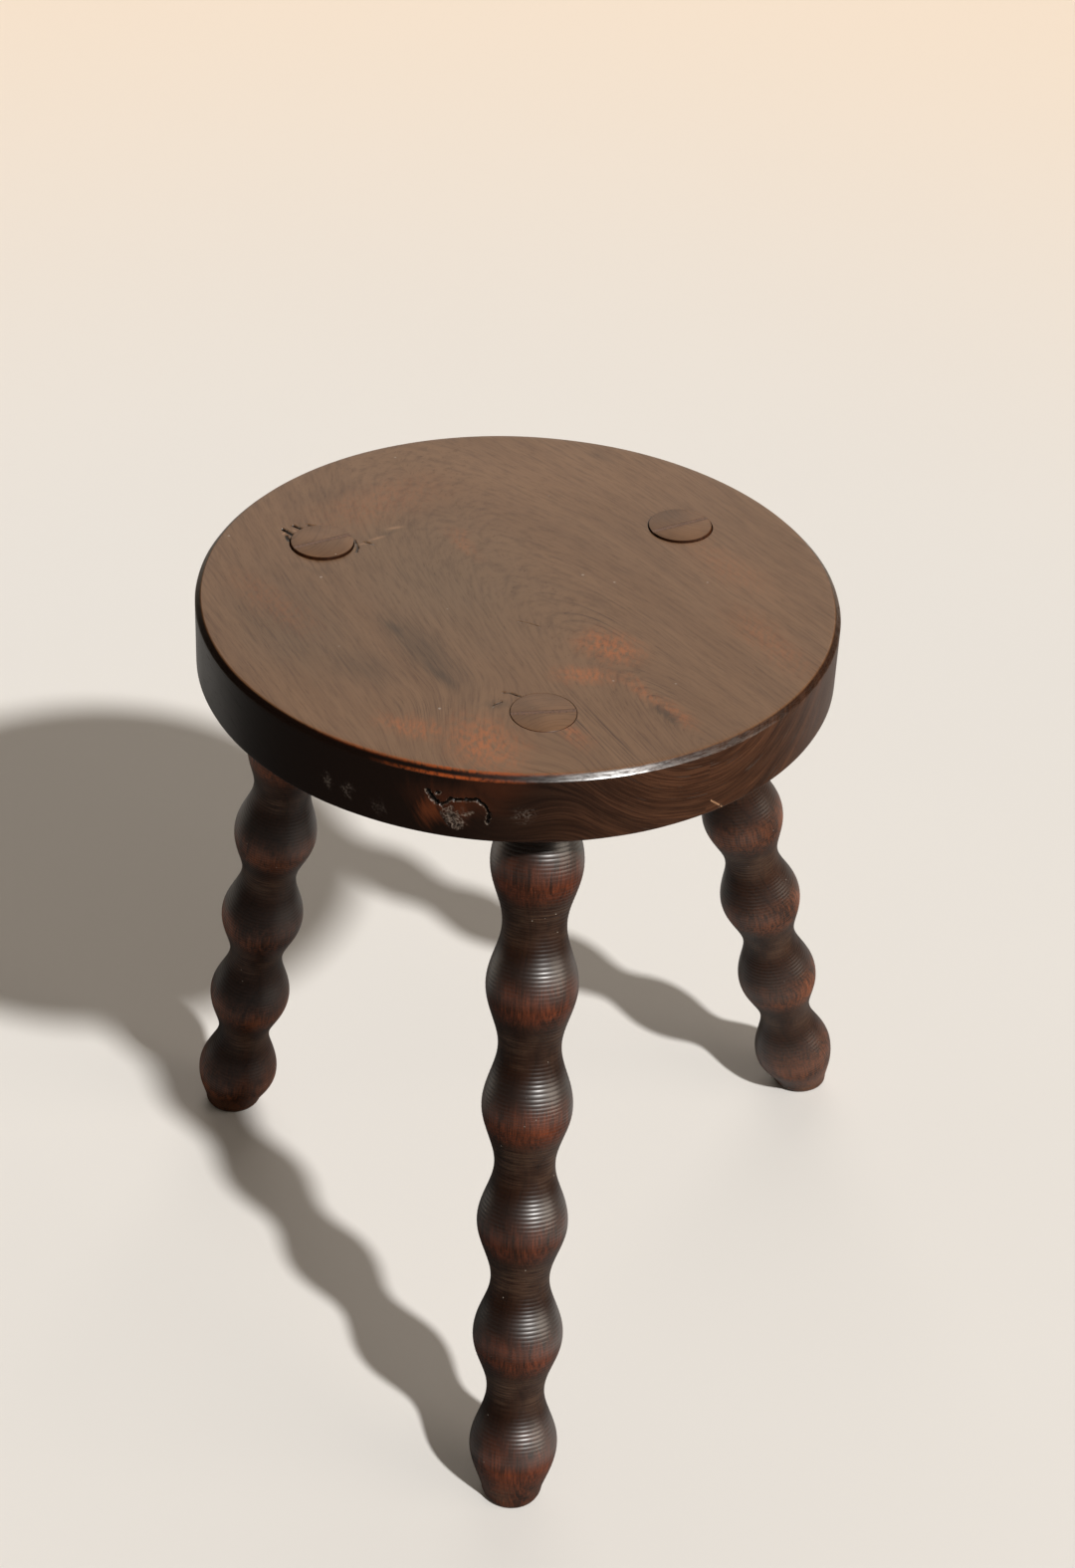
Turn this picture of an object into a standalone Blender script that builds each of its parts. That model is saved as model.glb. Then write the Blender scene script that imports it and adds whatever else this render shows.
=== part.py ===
"""Three-legged milking stool: a round plank seat on three turned bobbin legs, wedged through the seat.

Metres, +Z up. The origin is on the floor, under the middle of the stool's box.
"""
import math

import bmesh
import bpy
from mathutils import Matrix

# Seat: one round plank with a chamfered upper edge
SEAT_DIAMETER = 0.2800
SEAT_THICKNESS = 0.0327
SEAT_HEIGHT = 0.3678
CHAMFER_WIDTH = 0.0028
CHAMFER_DROP = 0.0023
LOWER_ARRIS = 0.0007

# Legs: one turned stick each, all to one pattern
TENON_DIAMETER = 0.0275
TENON_RING_DIAMETER = 0.1876
BOBBIN_COUNT = 6
BOBBIN_DIAMETER = 0.0407
TOP_NECK_DIAMETER = 0.0284
FOOT_NECK_DIAMETER = 0.0254
FOOT_FLAT_DIAMETER = 0.0214
FOOT_ROUNDING = 0.0045
FOOT_TRIM = 0.0032

# Wedges: one thin slip driven into a kerf across each tenon
WEDGE_THICKNESS = 0.0021
WEDGE_TIP_THICKNESS = 0.0009
WEDGE_DEPTH = 0.0240

# Clearance between touching pieces
FIT_GAP = 0.0003

# Each leg as it was bored by hand, in degrees seen from above, with its tenon's height above the seat
LEGS = {
    "front": {"tenon_at": -81.9, "splay": 13.2, "leans_to": -87.9, "wedge_along": 10.0, "proud": 0.0001},
    "rear_left": {"tenon_at": 160.2, "splay": 10.6, "leans_to": 136.7, "wedge_along": 30.0, "proud": 0.0011},
    "rear_right": {"tenon_at": 41.2, "splay": 15.9, "leans_to": 32.2, "wedge_along": 30.0, "proud": 0.0009},
}

# Fineness of the round shapes
SEAT_SIDES = 96
LEG_SIDES = 28
RINGS_PER_BOBBIN = 8
FOOT_RINGS = 4
SMOOTH_BELOW = math.radians(35.0)

# Finishes: colour and roughness
SEAT_WOOD = (0.105, 0.058, 0.034), 0.36
LEG_WOOD = (0.047, 0.019, 0.010), 0.32
WEDGE_WOOD = (0.118, 0.066, 0.038), 0.40


def wood(name, finish):
    colour, roughness = finish
    material = bpy.data.materials.new(name)
    material.use_nodes = True
    shader = material.node_tree.nodes["Principled BSDF"]
    shader.inputs["Base Color"].default_value = (*colour, 1.0)
    shader.inputs["Roughness"].default_value = roughness
    shader.inputs["Metallic"].default_value = 0.0
    return material


def add_piece(name, body, parent, finish):
    """Make an object of the finished body, shaded smooth except at its real edges."""
    bmesh.ops.recalc_face_normals(body, faces=body.faces)
    mesh = bpy.data.meshes.new(name)
    body.to_mesh(mesh)
    body.free()
    mesh.shade_smooth()
    mesh.set_sharp_from_angle(angle=SMOOTH_BELOW)
    mesh.materials.append(wood(name + "_wood", finish))
    piece = bpy.data.objects.new(name, mesh)
    piece.parent = parent
    bpy.context.scene.collection.objects.link(piece)
    return piece


def add_cutter(name, body, parent, finish):
    cutter = add_piece(name, body, parent, finish)
    cutter.hide_render = True
    cutter.display_type = "WIRE"
    return cutter


def cut(piece, cutter):
    boolean = piece.modifiers.new(cutter.name, "BOOLEAN")
    boolean.operation = "DIFFERENCE"
    boolean.solver = "EXACT"
    boolean.object = cutter


def turned(rings, sides):
    """Round body through rings of (radius, level), from the lowest up, closed flat at both ends."""
    body = bmesh.new()
    radius, level = rings[0]
    place = Matrix.Translation((0.0, 0.0, level))
    bmesh.ops.create_circle(body, radius=radius, segments=sides, matrix=place)
    edges = body.edges[:]
    for next_radius, next_level in rings[1:]:
        grown = bmesh.ops.extrude_edge_only(body, edges=edges)["geom"]
        corners = [item for item in grown if isinstance(item, bmesh.types.BMVert)]
        edges = [item for item in grown if isinstance(item, bmesh.types.BMEdge)]
        spread = next_radius / radius
        bmesh.ops.scale(body, vec=(spread, spread, 1.0), verts=corners)
        bmesh.ops.translate(body, vec=(0.0, 0.0, next_level - level), verts=corners)
        radius, level = next_radius, next_level
    bmesh.ops.holes_fill(body, edges=body.edges, sides=0)
    return body


def place_on_leg(piece, leg):
    """Put a piece's own Z axis on the leg's axis, with its origin in the seat's upper face."""
    bearing = math.radians(leg["tenon_at"])
    ring_radius = TENON_RING_DIAMETER / 2
    piece.location = (ring_radius * math.cos(bearing), ring_radius * math.sin(bearing), SEAT_HEIGHT)
    piece.rotation_euler = (0.0, -math.radians(leg["splay"]), math.radians(leg["leans_to"]))


def slope(leg):
    """How far along the leg's axis a level cut climbs for each metre across the leg."""
    return -math.tan(math.radians(leg["splay"]))


def along_axis(height, leg):
    return height / math.cos(math.radians(leg["splay"]))


def shoulder_level(leg):
    """Level on the leg's axis where the tenon ends and the turning clears the seat's underside."""
    widest = max(TENON_DIAMETER, TOP_NECK_DIAMETER) / 2
    return -along_axis(SEAT_THICKNESS + FIT_GAP, leg) + widest * slope(leg)


def foot_level(leg):
    return -along_axis(SEAT_HEIGHT, leg)


def bobbin_pitch(leg):
    """The bobbins share the length below the seat, and the foot is trimmed from the last one."""
    return (shoulder_level(leg) - foot_level(leg) + FOOT_TRIM) / BOBBIN_COUNT


def bobbin_radius(level, leg):
    """Wave of bobbins, on necks that thin evenly from the seat to the foot."""
    down = shoulder_level(leg) - level
    share = down / (bobbin_pitch(leg) * BOBBIN_COUNT)
    neck = (TOP_NECK_DIAMETER + (FOOT_NECK_DIAMETER - TOP_NECK_DIAMETER) * share) / 2
    swell = (1.0 - math.cos(2.0 * math.pi * down / bobbin_pitch(leg))) / 2
    return neck + (BOBBIN_DIAMETER / 2 - neck) * swell


def leg_rings(leg):
    """Rings of the whole leg: rounded foot, bobbins, shoulder and tenon."""
    floor = foot_level(leg)
    foot_top = floor + FOOT_ROUNDING
    flat = FOOT_FLAT_DIAMETER / 2
    rings = []
    for step in range(FOOT_RINGS):
        turn = step / FOOT_RINGS * math.pi / 2
        reach = (bobbin_radius(foot_top, leg) - flat) * math.sin(turn)
        rings.append((flat + reach, foot_top - FOOT_ROUNDING * math.cos(turn)))
    rings.append((bobbin_radius(foot_top, leg), foot_top))
    ring_step = bobbin_pitch(leg) / RINGS_PER_BOBBIN
    for number in range(BOBBIN_COUNT * RINGS_PER_BOBBIN, -1, -1):
        level = shoulder_level(leg) - number * ring_step
        if level > foot_top + ring_step / 2:
            rings.append((bobbin_radius(level, leg), level))
    rings.append((TENON_DIAMETER / 2, shoulder_level(leg)))
    rings.append((TENON_DIAMETER / 2, along_axis(leg["proud"], leg)))
    return rings


def level_ends(body, leg):
    """Slide points along the leg so that its foot and its tenon's end lie level."""
    foot_top = foot_level(leg) + FOOT_ROUNDING
    last_belly = foot_level(leg) - FOOT_TRIM + bobbin_pitch(leg) / 2
    for point in body.verts:
        if point.co.z > shoulder_level(leg) / 2:
            share = 1.0
        else:
            share = min(max((last_belly - point.co.z) / (last_belly - foot_top), 0.0), 1.0)
        point.co.z += share * slope(leg) * point.co.x


def wedge_body(leg, length, gap, top, depth):
    """Tapered slip across the tenon, from a level top down to its thin end."""
    body = bmesh.new()
    bmesh.ops.create_cube(body, size=1.0)
    turn = math.radians(leg["wedge_along"] - leg["leans_to"])
    for point in body.verts:
        along = point.co.x * length
        across = point.co.y * WEDGE_THICKNESS
        level = -depth
        if point.co.z > 0.0:
            level = top + slope(leg) * (along * math.cos(turn) - across * math.sin(turn))
        taper = (WEDGE_THICKNESS - WEDGE_TIP_THICKNESS) * level / WEDGE_DEPTH
        thickness = WEDGE_THICKNESS + taper + 2.0 * gap
        point.co = (along, point.co.y * thickness, level)
    bmesh.ops.transform(body, matrix=Matrix.Rotation(turn, 4, "Z"), verts=body.verts)
    return body


def add_seat(stool):
    radius = SEAT_DIAMETER / 2
    rings = (
        (radius - LOWER_ARRIS, SEAT_HEIGHT - SEAT_THICKNESS),
        (radius, SEAT_HEIGHT - SEAT_THICKNESS + LOWER_ARRIS),
        (radius, SEAT_HEIGHT - CHAMFER_DROP),
        (radius - CHAMFER_WIDTH, SEAT_HEIGHT),
    )
    seat = add_piece("seat", turned(rings, SEAT_SIDES), stool, SEAT_WOOD)
    for name, leg in LEGS.items():
        radius = TENON_DIAMETER / 2 + FIT_GAP
        bore = ((radius, shoulder_level(leg) - radius), (radius, radius))
        mortise = add_cutter("mortise_" + name, turned(bore, LEG_SIDES), stool, SEAT_WOOD)
        place_on_leg(mortise, leg)
        cut(seat, mortise)
    return seat


def add_leg(stool, name, leg):
    body = turned(leg_rings(leg), LEG_SIDES)
    level_ends(body, leg)
    stick = add_piece("leg_" + name, body, stool, LEG_WOOD)
    place_on_leg(stick, leg)
    top = along_axis(leg["proud"], leg) + TENON_DIAMETER / 2
    slot = wedge_body(leg, TENON_DIAMETER * 2, FIT_GAP, top, WEDGE_DEPTH + FIT_GAP)
    kerf = add_cutter("kerf_" + name, slot, stool, LEG_WOOD)
    place_on_leg(kerf, leg)
    cut(stick, kerf)
    return stick


def add_wedge(stool, name, leg):
    length = math.sqrt(TENON_DIAMETER ** 2 - WEDGE_THICKNESS ** 2)
    slip = wedge_body(leg, length, 0.0, along_axis(leg["proud"], leg), WEDGE_DEPTH)
    wedge = add_piece("wedge_" + name, slip, stool, WEDGE_WOOD)
    place_on_leg(wedge, leg)
    return wedge


def centre_on_floor(stool, pieces):
    """Move the stool so that the middle of its box is over the origin."""
    bpy.context.view_layer.update()
    points = [piece.matrix_world @ vert.co for piece in pieces for vert in piece.data.vertices]
    for axis in (0, 1):
        spread = [point[axis] for point in points]
        stool.location[axis] = -(min(spread) + max(spread)) / 2
    bpy.context.view_layer.update()


for item in list(bpy.data.objects):
    bpy.data.objects.remove(item)
stool = bpy.data.objects.new("stool", None)
bpy.context.scene.collection.objects.link(stool)
pieces = [add_seat(stool)]
for leg_name, leg_values in LEGS.items():
    pieces.append(add_leg(stool, leg_name, leg_values))
    pieces.append(add_wedge(stool, leg_name, leg_values))
centre_on_floor(stool, pieces)
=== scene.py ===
import math
from collections import Counter

import bmesh
import bpy
from mathutils import Matrix, Vector, noise


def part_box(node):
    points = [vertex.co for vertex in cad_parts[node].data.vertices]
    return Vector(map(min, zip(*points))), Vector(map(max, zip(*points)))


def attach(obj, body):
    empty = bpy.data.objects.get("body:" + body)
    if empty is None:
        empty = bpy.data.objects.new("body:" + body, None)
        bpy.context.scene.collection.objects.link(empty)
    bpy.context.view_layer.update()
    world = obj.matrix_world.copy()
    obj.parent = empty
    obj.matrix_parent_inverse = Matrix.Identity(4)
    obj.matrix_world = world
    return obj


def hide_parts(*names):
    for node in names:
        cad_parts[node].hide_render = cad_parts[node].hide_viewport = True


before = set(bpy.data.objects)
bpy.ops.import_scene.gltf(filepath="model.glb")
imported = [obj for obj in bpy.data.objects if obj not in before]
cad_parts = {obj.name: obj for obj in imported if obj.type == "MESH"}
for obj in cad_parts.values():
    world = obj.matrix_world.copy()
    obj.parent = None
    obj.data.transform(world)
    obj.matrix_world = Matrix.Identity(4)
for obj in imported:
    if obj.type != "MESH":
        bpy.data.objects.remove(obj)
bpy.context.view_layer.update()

# The seat is one thick round plank of stained hardwood, rubbed with wax until it shines softly.
# Its upper edge is chamfered, three slanting mortises are bored right through it for the legs,
# and an old knot has opened in its front edge.
seat_low, seat_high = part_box("seat")
seat_middle = Vector(((seat_low.x + seat_high.x) / 2, (seat_low.y + seat_high.y) / 2, seat_high.z))
seat_radius = (seat_high.x - seat_low.x) / 2
seat_thickness = seat_high.z - seat_low.z
chamfer_width, chamfer_drop = 0.0027, 0.0026
lower_arris, corner_softness = 0.0007, 0.00022
tenon_radius, tenon_ring_radius = 0.01375, 0.0938
mortise_radius, rear_looseness = 0.01402, 0.00025
top_unevenness, rim_unevenness = 0.00011, 0.00016

# How each leg was bored by eye, in degrees seen from above, and how far its tenon stands over the seat
legs = {
    "front": {"tenon_at": -81.9, "splay": 13.2, "leans_to": -87.9, "wedge_along": 10.0, "proud": 0.0001},
    "rear_left": {"tenon_at": 160.2, "splay": 10.6, "leans_to": 136.7, "wedge_along": 30.0, "proud": 0.0011},
    "rear_right": {"tenon_at": 41.2, "splay": 15.9, "leans_to": 32.2, "wedge_along": 30.0, "proud": 0.0009},
}


def leg_placing(leg):
    """From a leg's own axis, with its zero in the seat's upper face, to the standing stool."""
    bearing = math.radians(leg["tenon_at"])
    tenon = Vector((math.cos(bearing), math.sin(bearing), 0.0)) * tenon_ring_radius
    lean = Matrix.Rotation(math.radians(leg["leans_to"]), 4, "Z")
    return Matrix.Translation(seat_middle + tenon) @ lean @ Matrix.Rotation(-math.radians(leg["splay"]), 4, "Y")


def spin_round(body, steps):
    """Spin an outline in the X-Z plane round the Z axis into a skin."""
    bmesh.ops.spin(body, geom=body.verts[:] + body.edges[:], cent=(0, 0, 0), axis=(0, 0, 1), dvec=(0, 0, 0),
                   angle=2 * math.pi, steps=steps, use_merge=True)
    bmesh.ops.remove_doubles(body, verts=body.verts, dist=1e-6)
    bmesh.ops.recalc_face_normals(body, faces=body.faces)


def ring_edges(body, rings):
    """Edges that lie on any of these rings, each given by its radius and height."""
    def on_ring(point, ring):
        return abs(point.co.xy.length - ring[0]) < 1e-5 and abs(point.co.z - ring[1]) < 1e-5
    return [edge for edge in body.edges for ring in rings if all(on_ring(end, ring) for end in edge.verts)]


def refine(body, middle, reach, rounds):
    """Split the mesh finer inside a ball, where a mark is going to be pressed or torn."""
    for _ in range(rounds):
        near = [edge for edge in body.edges if all((end.co - middle).length < reach for end in edge.verts)]
        bmesh.ops.subdivide_edges(body, edges=near, cuts=1, use_grid_fill=True)


def distance_to_path(point, path):
    """How far a point lies from the nearest place on a path."""
    nearest = min((point - place).length for place in path)
    for start, end in zip(path, path[1:]):
        run = end - start
        share = min(max((point - start).dot(run) / run.length_squared, 0.0), 1.0)
        nearest = min(nearest, (point - start - run * share).length)
    return nearest


def press(body, path, width, depth, ragged):
    """Sink a groove along a path, or a pit at a single place, square to the skin and with ragged sides."""
    body.normal_update()
    middle = sum(path, Vector()) / len(path)
    reach = max((place - middle).length for place in path) + 2 * width
    moves = []
    for point in body.verts:
        if (point.co - middle).length < reach:
            loose = width * (1.0 + ragged * noise.noise(point.co * 800.0))
            near = 1.0 - distance_to_path(point.co, path) / loose
            if near > 0.0:
                sink = depth * (1.0 + ragged * noise.noise(point.co * 450.0 + Vector((7.0, 3.0, 1.0))))
                moves.append((point, sink * min(1.0, near * 1.7)))
    sunk = body.verts.layers.float["sunk"]
    for point, move in moves:
        point.co -= point.normal * move
        point[sunk] += move


def add_object(name, body):
    """Put a finished body into the scene under this name."""
    mesh = bpy.data.meshes.new(name)
    body.to_mesh(mesh)
    body.free()
    piece = bpy.data.objects.new(name, mesh)
    bpy.context.scene.collection.objects.link(piece)
    return piece


def cut_away(piece, cutters):
    """Cut bodies out of a piece for good."""
    for cutter in cutters:
        boolean = piece.modifiers.new(cutter.name, "BOOLEAN")
        boolean.operation = "DIFFERENCE"
        boolean.solver = "EXACT"
        boolean.object = cutter
    bpy.context.view_layer.update()
    shaped = bpy.data.meshes.new_from_object(piece.evaluated_get(bpy.context.evaluated_depsgraph_get()))
    # Cut the skin into triangles and drop the slivers among them that lie back to back
    body = bmesh.new()
    body.from_mesh(shaped)
    bmesh.ops.triangulate(body, faces=body.faces)
    shared = Counter(frozenset(face.verts) for face in body.faces)
    doubled = [face for face in body.faces if shared[frozenset(face.verts)] > 1]
    bmesh.ops.delete(body, geom=doubled, context="FACES")
    body.to_mesh(shaped)
    body.free()
    piece.modifiers.clear()
    piece.data = shaped
    for cutter in cutters:
        bpy.data.objects.remove(cutter)


def shade_smooth(mesh):
    """Smooth over the small steps of the mesh and keep real corners sharp."""
    mesh.shade_smooth()
    mesh.set_sharp_from_angle(angle=math.radians(38))


plank = bmesh.new()
corners = ((0.0, 0.0), (seat_radius - chamfer_width, 0.0), (seat_radius, -chamfer_drop),
           (seat_radius, lower_arris - seat_thickness), (seat_radius - lower_arris, -seat_thickness),
           (0.0, -seat_thickness))
outline = [plank.verts.new((reach, 0.0, height)) for reach, height in corners]
lines = [plank.edges.new(ends) for ends in zip(outline, outline[1:])]
bmesh.ops.subdivide_edges(plank, edges=lines[:1], cuts=45)
bmesh.ops.subdivide_edges(plank, edges=lines[1:2], cuts=2)
bmesh.ops.subdivide_edges(plank, edges=lines[2:3], cuts=12)
bmesh.ops.subdivide_edges(plank, edges=lines[4:], cuts=20)
spin_round(plank, steps=288)
bmesh.ops.bevel(plank, geom=ring_edges(plank, corners[1:5]), offset=corner_softness, offset_type="OFFSET",
                segments=2, profile=0.5, affect="EDGES", material=-1)
plank.verts.layers.float.new("sunk")


def on_edge(bearing, drop):
    """A place on the edge, by its bearing in degrees and the millimetres below the top."""
    turn = math.radians(bearing)
    return Vector((seat_radius * math.cos(turn), seat_radius * math.sin(turn), -drop / 1000))


def on_top(right, behind):
    """A place on the top, by the millimetres to the right of and behind its middle."""
    return Vector((right / 1000, behind / 1000, 0.0))


for middle, reach in ((on_edge(-97.5, 17), 0.0225), (on_edge(-51.4, 29.5), 0.0075), (on_top(-98, 40), 0.0130),
                      (on_top(-73, 31), 0.0090), (on_top(-1, -83), 0.0110), (on_top(5, -26), 0.0075)):
    refine(plank, middle, reach, rounds=3)

# A hand-worked plank is never quite flat or round
for point in plank.verts:
    depth = min(max(1.0 + point.co.z / 0.006, 0.0), 1.0)
    point.co.z -= top_unevenness * depth * (1.0 + noise.noise(point.co * 22.0))
    reach = point.co.xy.length
    rim = min(max((reach - seat_radius + 0.006) / 0.004, 0.0), 1.0)
    inwards = rim_unevenness * rim * (1.0 + noise.noise(Vector((point.co.x, point.co.y, 0.0)) * 35.0))
    point.co.xy *= 1.0 - inwards / max(reach, 1e-6)

knot = [on_edge(*place) for place in (
    (-101.3, 16.7), (-100.0, 16.2), (-99.2, 13.6), (-97.9, 13.5), (-96.5, 13.0), (-94.6, 12.4),
    (-93.6, 14.6), (-93.1, 16.6), (-92.7, 18.7), (-92.7, 21.0), (-93.0, 22.8))]
marks = [
    (knot, 0.0010, 0.0011, 0.7),
    ([on_edge(-103.0, 11.6), on_edge(-102.3, 14.0), on_edge(-101.2, 16.6)], 0.0014, 0.0013, 0.7),
    ([on_edge(-101.2, 11.6)], 0.0015, 0.0008, 0.7),
    ([on_edge(-99.3, 20.2), on_edge(-98.6, 22.2), on_edge(-98.1, 25.6)], 0.0030, 0.0005, 0.9),
    ([on_edge(-96.9, 20.4), on_edge(-95.4, 18.8)], 0.0009, 0.0004, 0.4),
    ([on_edge(-51.2, 31.0), on_edge(-50.2, 33.2)], 0.0007, 0.0012, 0.2),
    ([on_top(-106.5, 42.2), on_top(-101.6, 37.6)], 0.0011, 0.0009, 0.4),
    ([on_top(-104.6, 36.6), on_top(-103.0, 32.6)], 0.0010, 0.0007, 0.4),
    ([on_top(-102.4, 45.6), on_top(-97.4, 42.4)], 0.0010, 0.0008, 0.4),
    ([on_top(-95.8, 46.8), on_top(-91.6, 45.6)], 0.0009, 0.0006, 0.4),
    ([on_top(-74.2, 35.6), on_top(-72.2, 29.6), on_top(-72.6, 25.8)], 0.0008, 0.0005, 0.4),
    ([on_top(-69.4, 34.6), on_top(-66.0, 33.0)], 0.0008, 0.0004, 0.4),
    ([on_top(-99.6, 4.4), on_top(-93.4, 8.2)], 0.0006, 0.0004, 0.4),
    ([on_top(-4.0, -79.5), on_top(-0.9, -79.7), on_top(3.2, -81.7)], 0.0006, 0.0007, 0.4),
    ([on_top(-7.6, -88.9), on_top(-4.2, -86.4)], 0.0006, 0.0005, 0.4),
    ([on_top(0.5, -24.4), on_top(5.0, -25.6), on_top(9.5, -27.6)], 0.0004, 0.0002, 0.2),
]
for path, width, depth, raggedness in marks:
    press(plank, path, width, depth, raggedness)

bmesh.ops.translate(plank, vec=seat_middle, verts=plank.verts)
seat = add_object("seat_plank", plank)

# The rear mortises came out a little too wide, most of all in front of their tenons
bores = []
for leg_name, leg in legs.items():
    bore = bmesh.new()
    loose = 0.0 if leg_name == "front" else rear_looseness
    bmesh.ops.create_cone(bore, cap_ends=True, segments=72, radius1=mortise_radius + loose,
                          radius2=mortise_radius + loose, depth=4 * seat_thickness,
                          matrix=Matrix.Translation((0.0, -1.4 * loose, 0.0)) @ leg_placing(leg))
    bores.append(add_object("bore_" + leg_name, bore))
cut_away(seat, bores)
shade_smooth(seat.data)


def add_node(tree, kind, sockets=(), **settings):
    """Add a node, set it up, and fill or feed its sockets."""
    node = tree.nodes.new(kind)
    for name, value in settings.items():
        setattr(node, name, value)
    for socket, value in dict(sockets).items():
        if isinstance(value, bpy.types.NodeSocket):
            tree.links.new(value, node.inputs[socket])
        else:
            node.inputs[socket].default_value = value
    return node


def calc(tree, operation, *values):
    return add_node(tree, "ShaderNodeMath", enumerate(values), operation=operation).outputs[0]


def rest_of(tree, share):
    return calc(tree, "SUBTRACT", 1.0, share)


def ramp(tree, value, low, high):
    """From 0 at the low end to 1 at the high end, eased at both."""
    sockets = {"Value": value, "From Min": low, "From Max": high}
    return add_node(tree, "ShaderNodeMapRange", sockets, interpolation_type="SMOOTHSTEP").outputs[0]


def hump(tree, value, low, full, fading, gone):
    """From 0 up to 1 between the first two ends, and back to 0 between the last two."""
    return calc(tree, "MULTIPLY", ramp(tree, value, low, full), rest_of(tree, ramp(tree, value, fading, gone)))


def tint(tree, share, under, over, blend="MIX"):
    """Lay one colour over another by a share from 0 to 1."""
    return add_node(tree, "ShaderNodeMix", {0: share, 6: under, 7: over}, data_type="RGBA",
                    blend_type=blend).outputs[2]


def vector_calc(tree, operation, *vectors, **sockets):
    """Work on vectors; a length or a dot product comes out as a value."""
    sockets.update(enumerate(vectors))
    outputs = add_node(tree, "ShaderNodeVectorMath", sockets, operation=operation).outputs
    return outputs["Value" if operation in ("LENGTH", "DOT_PRODUCT") else "Vector"]


def stretch(tree, place, factors):
    return vector_calc(tree, "MULTIPLY", place, factors)


def split(tree, place):
    return add_node(tree, "ShaderNodeSeparateXYZ", {0: place}).outputs


def centre_on(tree, place, middle, turned, size=(1.0, 1.0, 1.0)):
    """Places as seen from a middle that is turned by these degrees, measured in these sizes."""
    sockets = {"Vector": place, "Location": middle, "Rotation": [math.radians(turn) for turn in turned],
               "Scale": size}
    return add_node(tree, "ShaderNodeMapping", sockets, vector_type="TEXTURE").outputs[0]


def clouds(tree, place, scale, detail=3.0, roughness=0.5):
    sockets = {"Vector": place, "Scale": scale, "Detail": detail, "Roughness": roughness}
    return add_node(tree, "ShaderNodeTexNoise", sockets)


def wander(tree, place, drift, reach):
    """Push places aside by a cloudy colour, by up to half this reach either way."""
    aside = vector_calc(tree, "SUBTRACT", drift, (0.5, 0.5, 0.5))
    return vector_calc(tree, "ADD", place, vector_calc(tree, "SCALE", aside, Scale=reach))


def new_effect(name, inputs, outputs):
    """A shader node group with these named values going in and coming out."""
    effect = bpy.data.node_groups.new(name, "ShaderNodeTree")
    for way, sockets in (("INPUT", inputs), ("OUTPUT", outputs)):
        for socket, kind in sockets.items():
            effect.interface.new_socket(socket, in_out=way, socket_type="NodeSocket" + kind)
    return effect, effect.nodes.new("NodeGroupInput").outputs, effect.nodes.new("NodeGroupOutput").inputs


# Where a point lay in the tree: along the pith, out from it and round it. The pith is the X axis of the
# place that is fed in; a swelling pushes the years aside, as a branch does.
in_the_tree, given, result = new_effect(
    "place in the tree", {"Place": "Vector", "Swelling": "Float", "Wander": "Float"}, {"Grain": "Vector"})
drift = clouds(in_the_tree, stretch(in_the_tree, given["Place"], (0.35, 1.0, 1.0)), 16.0, 2.0).outputs[1]
bent = wander(in_the_tree, given["Place"], drift, given["Wander"])
parts = split(in_the_tree, bent)
out = vector_calc(in_the_tree, "LENGTH", stretch(in_the_tree, bent, (0.0, 1.0, 1.0)))
out = calc(in_the_tree, "ADD", out, given["Swelling"])
turn = calc(in_the_tree, "ARCTAN2", parts["Y"], parts["Z"])
grain = add_node(in_the_tree, "ShaderNodeCombineXYZ", {
    0: parts["X"], 1: out, 2: calc(in_the_tree, "MULTIPLY", turn, out)}).outputs[0]
in_the_tree.links.new(grain, result["Grain"])

# Growth rings: the thin dark line that closes each year, broken here and there, and broad bands of good
# and bad years
growth_rings, given, result = new_effect(
    "growth rings", {"Grain": "Vector", "Ring Width": "Float"}, {"Line": "Float", "Band": "Float"})
age = calc(growth_rings, "DIVIDE", split(growth_rings, given["Grain"])["Y"], given["Ring Width"])
uneven = add_node(growth_rings, "ShaderNodeTexNoise", {"W": age, "Scale": 0.45, "Detail": 1.0},
                  noise_dimensions="1D").outputs[0]
season = calc(growth_rings, "ADD", age, calc(growth_rings, "MULTIPLY", uneven, 1.8))
line = hump(growth_rings, calc(growth_rings, "FRACT", season), 0.55, 0.88, 0.92, 1.0)
breaks = clouds(growth_rings, stretch(growth_rings, given["Grain"], (0.04, 1.0, 0.2)), 420.0, 2.0).outputs[0]
line = calc(growth_rings, "MULTIPLY", line, ramp(growth_rings, breaks, 0.34, 0.62))
growth_rings.links.new(line, result["Line"])
band = add_node(growth_rings, "ShaderNodeTexNoise", {"W": age, "Scale": 0.16, "Detail": 2.0},
                noise_dimensions="1D").outputs[0]
growth_rings.links.new(ramp(growth_rings, band, 0.30, 0.70), result["Band"])

# Open pores, drawn out along the grain
open_pores, given, result = new_effect(
    "open pores", {"Grain": "Vector", "Fineness": "Float", "Share": "Float"}, {"Pores": "Float"})
drawn = stretch(open_pores, given["Grain"], (0.05, 1.0, 0.8))
specks = clouds(open_pores, drawn, given["Fineness"], 2.0, 0.6).outputs[0]
edge = rest_of(open_pores, given["Share"])
pores = ramp(open_pores, specks, edge, calc(open_pores, "ADD", edge, 0.12))
open_pores.links.new(pores, result["Pores"])

# A few pale specks of dust
dust, given, result = new_effect("dust", {"Place": "Vector", "Fineness": "Float"}, {"Specks": "Float"})
cells = add_node(dust, "ShaderNodeTexVoronoi", {"Vector": given["Place"], "Scale": given["Fineness"]}).outputs
lot = add_node(dust, "ShaderNodeSeparateColor", {0: cells["Color"]}).outputs[0]
chosen = calc(dust, "GREATER_THAN", lot, 0.72)
specks = rest_of(dust, ramp(dust, cells["Distance"], 0.02, 0.06))
dust.links.new(calc(dust, "MULTIPLY", specks, chosen), result["Specks"])


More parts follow.
